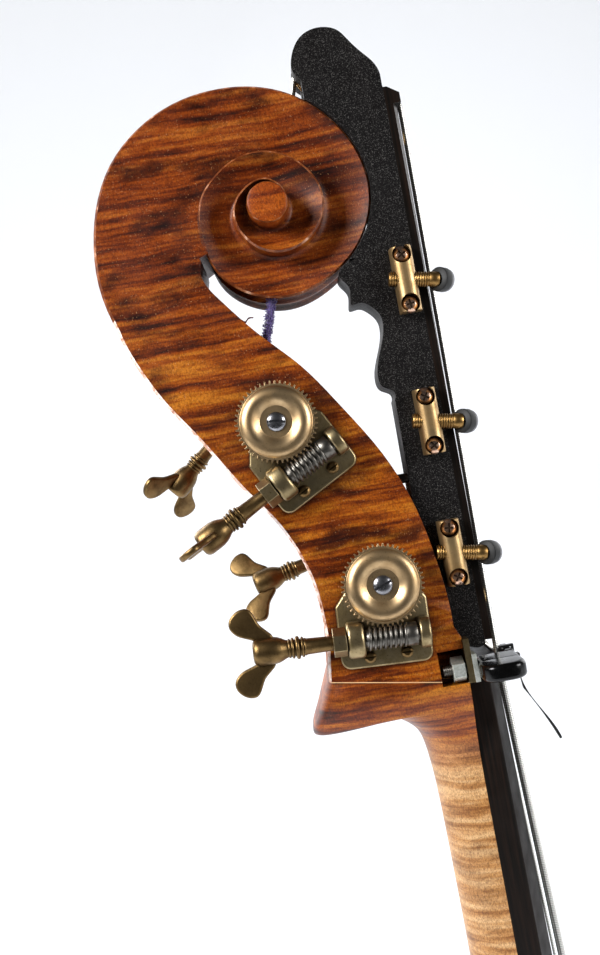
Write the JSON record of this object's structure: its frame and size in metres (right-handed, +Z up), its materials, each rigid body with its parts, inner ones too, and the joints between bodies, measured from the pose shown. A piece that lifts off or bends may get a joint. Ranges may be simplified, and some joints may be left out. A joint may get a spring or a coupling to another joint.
{
  "type": "double-bass head",
  "caption": "Double-bass scroll, pegbox and neck top with worm-gear machines, strings and a low-string extension with capos and a gate.",
  "frame": {"origin": "middle of the neck's cut end, on the plane where neck and fingerboard are glued", "axes": "+X to the strings, +Y to the treble side, +Z up along the neck to the scroll"},
  "size_m": [0.1959, 0.1254, 0.5147],
  "materials": {
    "aged_brass": "aged",
    "black_extension": "satin",
    "black_lever": "gloss",
    "bright_brass": "satin",
    "bright_steel": "polished",
    "dark_steel": "polished",
    "ebony": "satin",
    "gear_brass": "satin",
    "neck_maple": "oiled, varnished at the heel",
    "nylon": "matt",
    "rubber": "matt",
    "silk": "matt",
    "string_steel": "wound",
    "varnished_maple": "gloss varnish, flamed",
    "zinc_steel": "galvanised"
  },
  "bodies": {
    "head": {"scroll_and_pegbox": "varnished_maple", "neck": "neck_maple", "fingerboard": "ebony", "nut": "ebony", "string_low": "string_steel", "string_a": "string_steel", "string_d": "string_steel", "string_g": "string_steel", "extension_body": "black_extension", "extension_fingerboard": "ebony", "extension_nut": "ebony", "extension_screws": "bright_brass", "extension_prop": "ebony", "pulley_pin": "bright_steel", "capo_brackets": "bright_brass", "capo_bracket_screws": "bright_brass", "gate_plate": "bright_brass", "gate_washer": "zinc_steel", "gate_bolt": "zinc_steel", "gate_nut": "zinc_steel", "machine_plate_1": "aged_brass", "machine_plate_2": "aged_brass", "machine_plate_3": "aged_brass", "machine_plate_4": "aged_brass", "worm_lock_nuts": "bright_brass", "machine_plate_screws": "aged_brass"},
    "worm_1": {"worm_1": "dark_steel", "key_1": "aged_brass"},
    "gear_1": {"gear_wheel_1": "gear_brass", "gear_screw_1": "bright_steel", "roller_1": "aged_brass", "winding_1": "silk"},
    "worm_2": {"worm_2": "dark_steel", "key_2": "aged_brass"},
    "gear_2": {"gear_wheel_2": "gear_brass", "gear_screw_2": "bright_steel", "roller_2": "aged_brass", "winding_2": "string_steel"},
    "worm_3": {"worm_3": "dark_steel", "key_3": "aged_brass"},
    "gear_3": {"gear_wheel_3": "gear_brass", "gear_screw_3": "bright_steel", "roller_3": "aged_brass", "winding_3": "string_steel"},
    "worm_4": {"worm_4": "dark_steel", "key_4": "aged_brass"},
    "gear_4": {"gear_wheel_4": "gear_brass", "gear_screw_4": "bright_steel", "roller_4": "aged_brass", "winding_4": "string_steel"},
    "capo_1": {"capo_rod_1": "bright_brass", "capo_pad_1": "rubber"},
    "capo_2": {"capo_rod_2": "bright_brass", "capo_pad_2": "rubber"},
    "capo_3": {"capo_rod_3": "bright_brass", "capo_pad_3": "rubber"},
    "gate": {"gate_lever": "black_lever", "cable_tie": "nylon"},
    "pulley": {"string_pulley": "bright_brass"}
  },
  "joints": [
    {"name": "worm_1_turn", "type": "hinge", "parent": "head", "child": "worm_1", "pos_m": [-0.05947, -0.04201, 0.29853], "axis": [-0.887, -0.0156, -0.4615], "continuous": true},
    {"name": "gear_1_turn", "type": "hinge", "parent": "head", "child": "gear_1", "pos_m": [-0.0712, -0.04124, 0.32104], "axis": [0, -0.9994, 0.0338], "continuous": true},
    {"name": "worm_2_turn", "type": "hinge", "parent": "head", "child": "worm_2", "pos_m": [-0.03595, -0.04508, 0.20751], "axis": [-0.9981, 0.0021, 0.061], "continuous": true},
    {"name": "gear_2_turn", "type": "hinge", "parent": "head", "child": "gear_2", "pos_m": [-0.0344, -0.04422, 0.23284], "axis": [0, -0.9994, 0.0338], "continuous": true},
    {"name": "worm_3_turn", "type": "hinge", "parent": "head", "child": "worm_3", "pos_m": [-0.08554, 0.04062, 0.33955], "axis": [-0.7683, 0.0216, -0.6397], "continuous": true},
    {"name": "gear_3_turn", "type": "hinge", "parent": "head", "child": "gear_3", "pos_m": [-0.1018, 0.03996, 0.35904], "axis": [0, 0.9994, 0.0338], "continuous": true},
    {"name": "worm_4_turn", "type": "hinge", "parent": "head", "child": "worm_4", "pos_m": [-0.03542, 0.04364, 0.25002], "axis": [-0.9781, 0.007, -0.2078], "continuous": true},
    {"name": "gear_4_turn", "type": "hinge", "parent": "head", "child": "gear_4", "pos_m": [-0.0407, 0.04281, 0.27484], "axis": [0, 0.9994, 0.0338], "continuous": true},
    {"name": "capo_1_turn", "type": "hinge", "parent": "head", "child": "capo_1", "pos_m": [0.00575, -0.0315, 0.3802], "axis": [0.9836, 0, -0.1805], "range_deg": [0, 180]},
    {"name": "capo_2_turn", "type": "hinge", "parent": "head", "child": "capo_2", "pos_m": [0.0045, -0.0315, 0.3081], "axis": [0.9836, 0, -0.1805], "range_deg": [0, 180]},
    {"name": "capo_3_turn", "type": "hinge", "parent": "head", "child": "capo_3", "pos_m": [0.0043, -0.0315, 0.241], "axis": [0.9836, 0, -0.1805], "range_deg": [0, 180]},
    {"name": "gate_lever_turn", "type": "hinge", "parent": "head", "child": "gate", "pos_m": [0.015, -0.032, 0.183], "axis": [1, 0, 0], "range_deg": [0, 90]},
    {"name": "pulley_turn", "type": "hinge", "parent": "head", "child": "pulley", "pos_m": [-0.0157, -0.0145, 0.4978], "axis": [0, 1, 0], "continuous": true}
  ],
  "couplings": [
    {"joint": "worm_1_turn", "follows": "gear_1_turn", "ratio": 50},
    {"joint": "worm_2_turn", "follows": "gear_2_turn", "ratio": 50},
    {"joint": "worm_3_turn", "follows": "gear_3_turn", "ratio": 50},
    {"joint": "worm_4_turn", "follows": "gear_4_turn", "ratio": 50}
  ]
}
